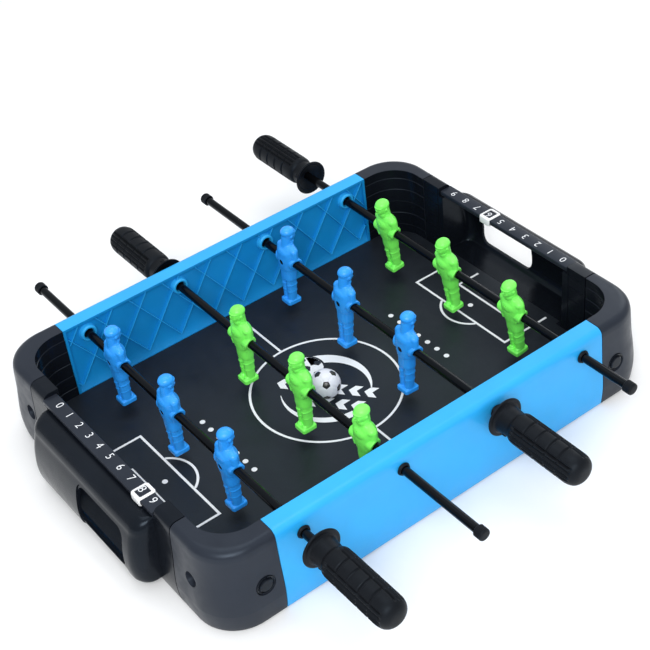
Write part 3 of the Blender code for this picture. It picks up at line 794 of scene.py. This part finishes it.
# ---- rods, caps and handles
# profiles are (along, radius), from the handle's rim or, in the cap, from the middle of the rod
GRIP_SECTORS = 240
GRIP_START, GRIP_END = 20.0, 86.5
COLUMN_SPAN, BLOCK_SPAN = 120.0, 68.0  # degrees of a column of blocks with its flutes, and of its blocks
FLUTES, FLUTE_DEPTH = 3.0, 2.1
BLOCKS = (33.0, 45.8, 58.6, 71.4)
HANDLE_OUTSIDE = (
    (0.0, 17.5), (0.5, 17.85), (1.2, 17.8), (1.7, 17.2), (1.95, 16.0), (2.0, 14.2), (2.4, 13.2), (4.2, 12.7),
    (9.0, 12.3), (15.0, 11.7), (15.8, 11.8), (16.6, 12.6), (17.6, 13.3), (19.0, 13.9), (21.5, 14.2),
    (26.0, 14.3), (50.0, 14.3), (74.0, 14.3), (80.5, 14.2), (84.0, 13.6), (87.0, 12.4), (89.2, 10.4),
    (90.7, 7.6), (91.4, 4.4), (91.6, 0.0))
HANDLE_INSIDE = ((40.0, 0.0), (40.0, 4.2), (6.4, 4.2), (5.8, 7.2), (4.6, 9.6), (2.6, 13.6), (1.0, 16.4))
HANDLE_SCREW = ((9.5, 0), (9.5, 2.3), (12.6, 2.2), (13.1, 1.8), (13.1, 1.0), (12.7, 0.8), (12.7, 0))
HANDLE_SPIN = (44.0, 188.0, 49.0, 106.0)
ROD_HIDDEN = 39.0  # how far the rod runs into its handle
CAP_SECTORS, CAP_FLUTE = 96, 0.28
CAP_START = CAP_END - CAP_LENGTH
CAP = ((CAP_END - 2.0, 0.0, 0), (CAP_END - 2.0, 4.2, 0), (CAP_START, 4.2, 0), (CAP_START, 5.0, 0),
       (CAP_START + 0.5, CAP_R, 0), (CAP_START + 1.4, CAP_R, 1), (CAP_END - 2.2, CAP_R, 1),
       (CAP_END - 1.4, CAP_R, 0), (CAP_END - 0.6, 5.1, 0), (CAP_END - 0.15, 4.2, 0), (CAP_END, 3.0, 0),
       (CAP_END, 0.0, 0))  # (along, radius, whether it is fluted)


def groove(distance, width, depth):
    """A soft-sided groove: its depth at that distance from its middle."""
    return depth * max(0.0, min(1.0, 1.9 * (1 - abs(distance) / width)))


def grip_relief(t, angle):
    """How far the grip is cut in at t along it and angle degrees round it."""
    if t < GRIP_START or t > GRIP_END:
        return 0.0
    fade = min(1.0, (t - GRIP_START) / 2.5, (GRIP_END - t) / 4.0)
    around = angle % COLUMN_SPAN
    if around < BLOCK_SPAN:
        edge = min(around, BLOCK_SPAN - around)
        cut = groove(edge, 4.6, 1.7)
        for line in BLOCKS:
            cut = max(cut, groove(t - line, 1.25, 1.3))
    else:
        flute = (around - BLOCK_SPAN) / (COLUMN_SPAN - BLOCK_SPAN) * FLUTES
        cut = FLUTE_DEPTH * (0.5 + 0.5 * math.cos(2 * math.pi * flute)) ** 0.8
        if any(abs(t - line) < 0.7 for line in BLOCKS):
            cut = max(cut, 1.1)
    return cut * fade


def handle_mesh():
    """A handle along +Y from its rim: dished flange, neck and grooved grip."""
    bm = bmesh.new()
    stations = []
    for (a, _), (b, _) in zip(HANDLE_OUTSIDE, HANDLE_OUTSIDE[1:]):
        count = max(1, int(round((b - a) / 0.5))) if GRIP_START <= a < 86.0 else 2
        stations += [a + (b - a) * i / count for i in range(count)]
    curve = smooth_table(HANDLE_OUTSIDE, 6)
    layers = [turned_ring(bm, along, [radius] * GRIP_SECTORS) for along, radius in HANDLE_INSIDE]
    for t in stations:
        cuts = [grip_relief(t, 360.0 * i / GRIP_SECTORS) for i in range(GRIP_SECTORS)]
        layers.append(turned_ring(bm, t, [between(curve, t) - cut for cut in cuts]))
    layers.append(turned_ring(bm, HANDLE_OUTSIDE[-1][0], [0.0]))
    skin(bm, layers)
    # the nub of the screw that holds the rod
    return lathe_at(bm, HANDLE_SCREW, 20, (0, 9.6, 0), (1, 1, -1), "Z")


def cap_mesh(side):
    """An end cap with fine flutes, on the side away from the handle."""
    bm = bmesh.new()
    layers = []
    for along, radius, fluted in CAP:
        radii = [radius - (CAP_FLUTE if fluted and k % 4 in (0, 1) else 0.0) for k in range(CAP_SECTORS)]
        layers.append(turned_ring(bm, -side * along, radii))
    skin(bm, layers)
    return bm


def on_rod(bm, side, spin, place):
    """Turns a mesh about its rod, mirrors it for its side and puts it in place."""
    turned(bm, Matrix.Rotation(math.radians(spin), 3, "Y"))
    return moved(moved(bm, flip=(1, side, 1)), place)


for i, x in enumerate(ROD_X):
    side, place, body = HANDLE_SIDE[i], (x, SLIDE_REST[i], ROD_Z), f"rod_{i + 1}_set"
    low, high = sorted((-side * (CAP_END - 2.4), side * (HANDLE_RIM + ROD_HIDDEN)))
    tube = lathe([(low, 0), (low, ROD_R - 0.4), (low + 0.4, ROD_R), (high - 0.4, ROD_R), (high, ROD_R - 0.4),
                  (high, 0)], 40)
    piece(as_object(f"rod_{i + 1}_tube", moved(tube, place), rod_coat), body, "rod_black", f"rod_{i + 1}")
    cap = as_object(f"cap_{i + 1}_fluted", moved(cap_mesh(side), place), rubber_black)
    piece(cap, f"cap_{i + 1}", "black_rubber", f"end_cap_{i + 1}")
    handle = on_rod(moved(handle_mesh(), (0, HANDLE_RIM, 0)), side, HANDLE_SPIN[i], place)
    grip = as_object(f"handle_{i + 1}_grip", handle, rubber_black, smooth=50.0)
    piece(grip, body, "black_rubber", f"handle_{i + 1}")


# ---- players
def blob(bm, centre, radii, steps=20):
    """An ellipsoid."""
    first = len(bm.verts)
    turn = [math.pi * k / steps for k in range(steps + 1)]
    lathe([(-math.cos(a), 0 if k in (0, steps) else math.sin(a)) for k, a in enumerate(turn)], steps * 2, bm)
    bm.verts.ensure_lookup_table()
    for vert in bm.verts[first:]:
        vert.co = Vector([vert.co[k] * radii[k] + centre[k] for k in range(3)])


def limb(bm, points, steps=24):
    """A round limb through (x, y, z, radius) points, closed by round ends."""
    for p in (points[0], points[-1]):
        blob(bm, p[:3], (p[3],) * 3, 10)
    for p, q in zip(points, points[1:]):
        along = (Vector(q[:3]) - Vector(p[:3])).normalized()
        across = along.orthogonal().normalized()
        other = along.cross(across)
        loft([[Vector((x, y, z)) + (across * math.cos(a) + other * math.sin(a)) * r
               for a in full_turn(steps)] for x, y, z, r in (p, q)], bm)


def slab(bm, levels, steps=32):
    """A stack of squarish sections: (z, half depth, half width, squareness, forward)."""
    rings = []
    for z, depth, width, power, forward in levels:
        ring = []
        for k in range(steps):
            a = 2 * math.pi * (k + 0.5) / steps
            c, s = math.cos(a), math.sin(a)
            stretch = (abs(c) ** power + abs(s) ** power) ** (-1 / power)
            ring.append((forward + depth * c * stretch, width * s * stretch, z))
        rings.append(ring)
    loft(rings, bm)


def sleeve(bm, side, steps=40):
    """The sleeve that holds the rod. Its slanted end comes to a point at the top front."""
    rings = []
    for along, radius, slant in ((4.0, 6.2, 0.0), (10.2, 6.3, 0.9), (12.0, 6.2, 1.5), (12.5, 5.7, 1.7)):
        rings.append([(radius * math.cos(a), side * (along + slant * math.cos(a - math.radians(50))),
                       radius * math.sin(a)) for a in full_turn(steps)])
    loft(rings, bm)


FIGURE_VOXEL, FIGURE_STOUT = 0.38, (1.08, 1.06, 1.0)
SET_SCREW_R = 2.9
SET_SCREW = ((-7.8, 0), (-7.8, 1.0), (-8.3, 1.2), (-8.3, 2.45), (-8.0, 2.8), (-4.9, 2.8), (-4.9, 0))


def player():
    """One moulded figure facing +X, its rod along Y through the origin."""
    bm = bmesh.new()
    # head, hair, features
    blob(bm, (1.6, 0, 28.2), (6.4, 5.8, 7.6))
    blob(bm, (0.9, 0, 30.8), (6.6, 6.1, 5.2))
    blob(bm, (7.6, 0, 27.2), (1.2, 0.9, 1.6), 8)
    blob(bm, (3.5, 0, 30.4), (4.9, 5.4, 1.5), 12)
    blob(bm, (4.2, 0, 25.0), (3.5, 3.9, 3.8), 12)
    blob(bm, (7.3, 0, 24.6), (0.8, 1.7, 0.5), 8)
    blob(bm, (2.6, 0, 20.8), (3.6, 4.6, 4.2), 12)
    for s in (-1, 1):
        blob(bm, (1.2, s * 5.8, 27.4), (1.4, 0.9, 2.0), 8)
        blob(bm, (6.2, s * 2.5, 26.2), (1.3, 1.4, 1.3), 8)
    limb(bm, [(-0.8, 0, 14.0, 5.0), (-0.5, 0, 19.0, 4.9), (-0.1, 0, 25.5, 4.9)])
    # shirt, collar and hem
    slab(bm, [(-9.6, 6.0, 7.6, 2.6, -0.4), (-8.8, 6.8, 8.4, 2.6, -0.4), (-7.6, 6.9, 8.6, 2.6, -0.4),
              (-4.0, 7.4, 9.4, 2.5, -0.4), (2.0, 7.8, 10.6, 2.4, -0.4), (8.0, 7.6, 11.4, 2.3, -0.4),
              (12.0, 6.9, 11.5, 2.2, -0.4), (14.6, 6.0, 10.6, 2.1, -0.3), (16.6, 5.2, 8.8, 2.0, -0.2),
              (18.2, 4.8, 6.8, 2.0, 0.0)])
    slab(bm, [(17.0, 4.9, 5.4, 2.0, 0.2), (18.6, 5.2, 5.7, 2.0, 0.2), (19.5, 5.2, 5.5, 2.0, 0.3),
              (20.2, 4.7, 5.0, 2.0, 0.3)])
    blob(bm, (3.2, 0, 8.6), (4.9, 8.6, 7.0), 14)
    blob(bm, (-4.4, 0, 9.0), (3.9, 8.8, 6.6), 14)
    for s in (-1, 1):
        limb(bm, [(0.0, 0, 16.4, 4.3), (-0.1, s * 8.8, 12.8, 4.2)])
        limb(bm, [(-0.4, s * 10.0, 12.4, 3.3), (-0.2, s * 10.5, 6.0, 3.1), (1.4, s * 10.4, 1.8, 3.0)])
        sleeve(bm, s)
        limb(bm, [(1.4, s * 10.4, 1.8, 2.9), (3.6, s * 8.6, -3.4, 2.3), (4.2, s * 7.2, -7.0, 1.7)])
    # shorts, legs, socks
    slab(bm, [(-22.2, 5.0, 6.5, 2.8, -0.4), (-21.4, 5.7, 7.2, 2.8, -0.4), (-19.6, 5.9, 7.4, 2.8, -0.4),
              (-13.0, 6.1, 7.5, 2.6, -0.4), (-6.0, 6.6, 8.4, 2.5, -0.4)])
    for s in (-1, 1):
        first = len(bm.verts)
        slab(bm, [(-45.5, 4.2, 2.8, 2.3, -0.3), (-38.0, 4.4, 3.1, 2.3, -0.3), (-30.0, 4.8, 3.3, 2.3, -0.3),
                  (-24.0, 5.0, 3.4, 2.3, -0.4), (-19.0, 5.2, 3.6, 2.3, -0.4)])
        for z, depth, width in ((-27.2, 5.3, 3.7), (-34.8, 4.9, 3.45)):
            slab(bm, [(z - 1.0, depth - 0.6, width - 0.5, 2.3, -0.3), (z - 0.6, depth, width, 2.3, -0.3),
                      (z + 0.6, depth, width, 2.3, -0.3), (z + 1.0, depth - 0.6, width - 0.5, 2.3, -0.3)])
        blob(bm, (2.0, 0, -44.2), (4.0, 2.8, 2.0), 10)
        moved(bm, (0, s * 3.3, 0), first=first)
    slab(bm, [(-45.0, 3.0, 3.6, 2.6, -0.3), (-20.0, 3.8, 4.0, 2.6, -0.4)])
    # foot block
    slab(bm, [(-49.8, 6.5, 6.3, 8.0, 0.4), (-49.3, 7.0, 6.8, 8.0, 0.4), (-45.6, 7.0, 6.8, 8.0, 0.4),
              (-44.6, 6.0, 5.8, 8.0, 0.4)], 64)
    bmesh.ops.scale(bm, vec=FIGURE_STOUT, verts=bm.verts)
    rough = as_object("figure", bm)
    remesh = rough.modifiers.new("fuse", "REMESH")
    remesh.mode, remesh.voxel_size, remesh.use_smooth_shade = "VOXEL", FIGURE_VOXEL * MM, True
    relax = rough.modifiers.new("relax", "SMOOTH")
    relax.factor, relax.iterations = 0.5, 3
    rough.data = evaluated(rough)
    rough.modifiers.clear()
    # the bore for the rod, the hole for the set screw and the pin hole in the chest
    boolean(rough, lathe([(-20, ROD_R + 0.25), (20, ROD_R + 0.25)], 48))
    boolean(rough, lathe([(-14.0, SET_SCREW_R), (-5.0, SET_SCREW_R)], 32, None, "X"))
    boolean(rough, moved(lathe([(5.5, 0.7), (14.0, 0.7)], 20, None, "X"), (0, 0, 11.5)))
    return resmooth(rough, 40.0)


figure = player()
for i, x in enumerate(ROD_X):
    facing, body = -HANDLE_SIDE[i], f"rod_{i + 1}_set"
    colour = "blue" if facing > 0 else "green"
    lean = Matrix.Rotation(math.radians(SPIN_REST[i]), 4, "Y")
    face_goal = Matrix.Rotation(0.0 if facing > 0 else math.pi, 4, "Z")
    for k in range(3):
        number = (1 if i < 2 else 4) + k
        place = (x, SLIDE_REST[i] + (1 - k) * PLAYER_PITCH, ROD_Z)
        mesh = figure.data.copy()
        mesh.transform(Matrix.Translation(Vector(place) * MM) @ lean @ face_goal)
        mesh.materials.clear()
        mesh.materials.append(men_paint[colour])
        man = linked(f"man_{colour}_{number}", mesh)
        piece(man, body, f"player_{colour}", f"player_{colour}_{number}")
        # the set screw, sunk in the back
        bm = on_rod(moved(lathe(SET_SCREW, 24, None, "X"), flip=(facing, 1, 1)), 1, SPIN_REST[i], place)
        piece(as_object(f"set_screw_{colour}_{number}", bm, rod_coat), body, "rod_black")
bpy.data.objects.remove(figure)


# ---- balls
PATCH_CUT = 2.7  # 2 makes all seams the same length, and more makes smaller patches
SEAM_DEPTH, SEAM_EDGE, SEAM_STEPS = 0.28, 0.05, 8
BALL_TURN, SPARE_TURN = (-0.27, -0.54, 2.16), (1.3, 0.2, 2.1)


def cut_edge(p, q):
    """The point where the plane of a patch cuts the edge from p to q, nearer to p."""
    return (p * PATCH_CUT + q) / (PATCH_CUT + 1)


def ball_faces():
    """The faces of a football as (material index, unit points in order round the face)."""
    phi = (1 + math.sqrt(5)) / 2
    corners = []
    for a in (-1, 1):
        for b in (-phi, phi):
            corners += [Vector((0, a, b)), Vector((a, b, 0)), Vector((b, 0, a))]
    near = min((corners[0] - c).length for c in corners[1:]) * 1.01
    faces = []
    for c in corners:
        around = [d for d in corners if 0.1 < (c - d).length < near]
        faces.append((1, c.normalized(), [cut_edge(c, d) for d in around]))
    for i, a in enumerate(corners):
        for j, b in enumerate(corners[i + 1:], i + 1):
            for c in corners[j + 1:]:
                if max((a - b).length, (b - c).length, (a - c).length) < near:
                    points = [cut_edge(p, q) for p in (a, b, c) for q in (a, b, c) if p is not q]
                    faces.append((0, (a + b + c).normalized(), points))
    for _, normal, points in faces:
        across = normal.orthogonal().normalized()
        other = normal.cross(across)
        points.sort(key=lambda p: math.atan2(p.dot(other), p.dot(across)))
    return [(kind, [p.normalized() for p in points]) for kind, _, points in faces]


def ball_mesh(turn):
    """A ball of pentagons and hexagons with a groove along each seam."""
    bm = bmesh.new()
    lowered = {SEAM_STEPS: SEAM_DEPTH, SEAM_STEPS - 1: SEAM_EDGE}
    for kind, points in ball_faces():
        middle = sum(points, Vector()) / len(points)
        for p, q in zip(points, points[1:] + points[:1]):
            grid = []
            for a in range(SEAM_STEPS + 1):
                edge = [p + (q - p) * (b / a if a else 0) for b in range(a + 1)]
                grid.append([bm.verts.new((middle + (e - middle) * (a / SEAM_STEPS)).normalized()
                                          * (BALL_R - lowered.get(a, 0.0))) for e in edge])
            for a in range(SEAM_STEPS):
                for b in range(a + 1):
                    bm.faces.new((grid[a][b], grid[a + 1][b], grid[a + 1][b + 1])).material_index = kind
                    if b < a:
                        bm.faces.new((grid[a][b], grid[a + 1][b + 1], grid[a][b + 1])).material_index = kind
    bmesh.ops.remove_doubles(bm, verts=bm.verts, dist=1e-3)
    return turned(bm, Euler(turn).to_matrix())


for name, place, turn in (("ball", BALL_REST, BALL_TURN), ("ball_spare", SPARE_REST, SPARE_TURN)):
    ball = as_object(f"{name}_skin", moved(ball_mesh(turn), place), ball_skin, ball_patch, smooth=60.0)
    piece(ball, name, "ball_white", name)


# ---- stage, light, camera
WORLD_LOW, WORLD_HIGH = 0.55, 0.85
floor_pale = shaded("floor_pale", (0.92, 0.92, 0.92), 0.7, bump=0.02, spread=0.01)
floor = as_object("floor", box((-3000, -3000, -20.0), (3000, 3000, -0.02)), floor_pale, smooth=30.0)

world = bpy.data.worlds.new("studio")
world.use_nodes = True
sky, sky_links = world.node_tree.nodes, world.node_tree.links
look = sky.new("ShaderNodeTexCoord")
height = sky.new("ShaderNodeSeparateXYZ")
sky_links.new(look.outputs["Generated"], height.inputs["Vector"])
lift = add_node(world.node_tree, "ShaderNodeMapRange", {
    "From Min": 0.0, "From Max": 0.9, "To Min": WORLD_LOW, "To Max": WORLD_HIGH})
sky_links.new(height.outputs["Z"], lift.inputs["Value"])
sky_links.new(lift.outputs["Result"], sky["Background"].inputs["Strength"])
sky["Background"].inputs["Color"].default_value = (0.94, 0.97, 1.0, 1.0)
bpy.context.scene.world = world
bpy.context.scene.view_settings.view_transform = "Standard"


def softbox(name, place, aim, size, power):
    """A rectangular lamp, in metres and watts, turned to what it lights."""
    light = bpy.data.lights.new(name, "AREA")
    light.shape, light.size, light.size_y, light.energy = "RECTANGLE", size[0], size[1], power
    made = linked(name, light)
    made.location = place
    made.rotation_euler = (Vector(aim) - Vector(place)).to_track_quat("-Z", "Y").to_euler()


softbox("key", (-0.9, -1.2, 1.3), (0, 0, 0), (1.1, 0.8), 24.0)
softbox("top", (0.1, 0.2, 1.9), (0, 0, 0), (1.4, 1.1), 9.0)
softbox("rim", (1.6, 0.6, 0.9), (0, 0, 0.05), (1.0, 0.8), 5.0)

CAMERA_AT = Vector((-0.54369, -0.83048, 0.89005))
CAMERA_TURN = Vector((2.1289, -0.7718, 0.2534))  # axis times angle, in radians
camera = linked("camera", bpy.data.cameras.new("camera"))
# the rows of the turn are the camera's right, down and forward directions
right, down, forward = Matrix.Rotation(CAMERA_TURN.length, 3, CAMERA_TURN.normalized())
pose = Matrix((right, -down, -forward)).transposed().to_4x4()
pose.translation = CAMERA_AT
camera.matrix_world = pose
camera.data.sensor_width, camera.data.lens = 36.0, 80.16
bpy.context.scene.camera = camera
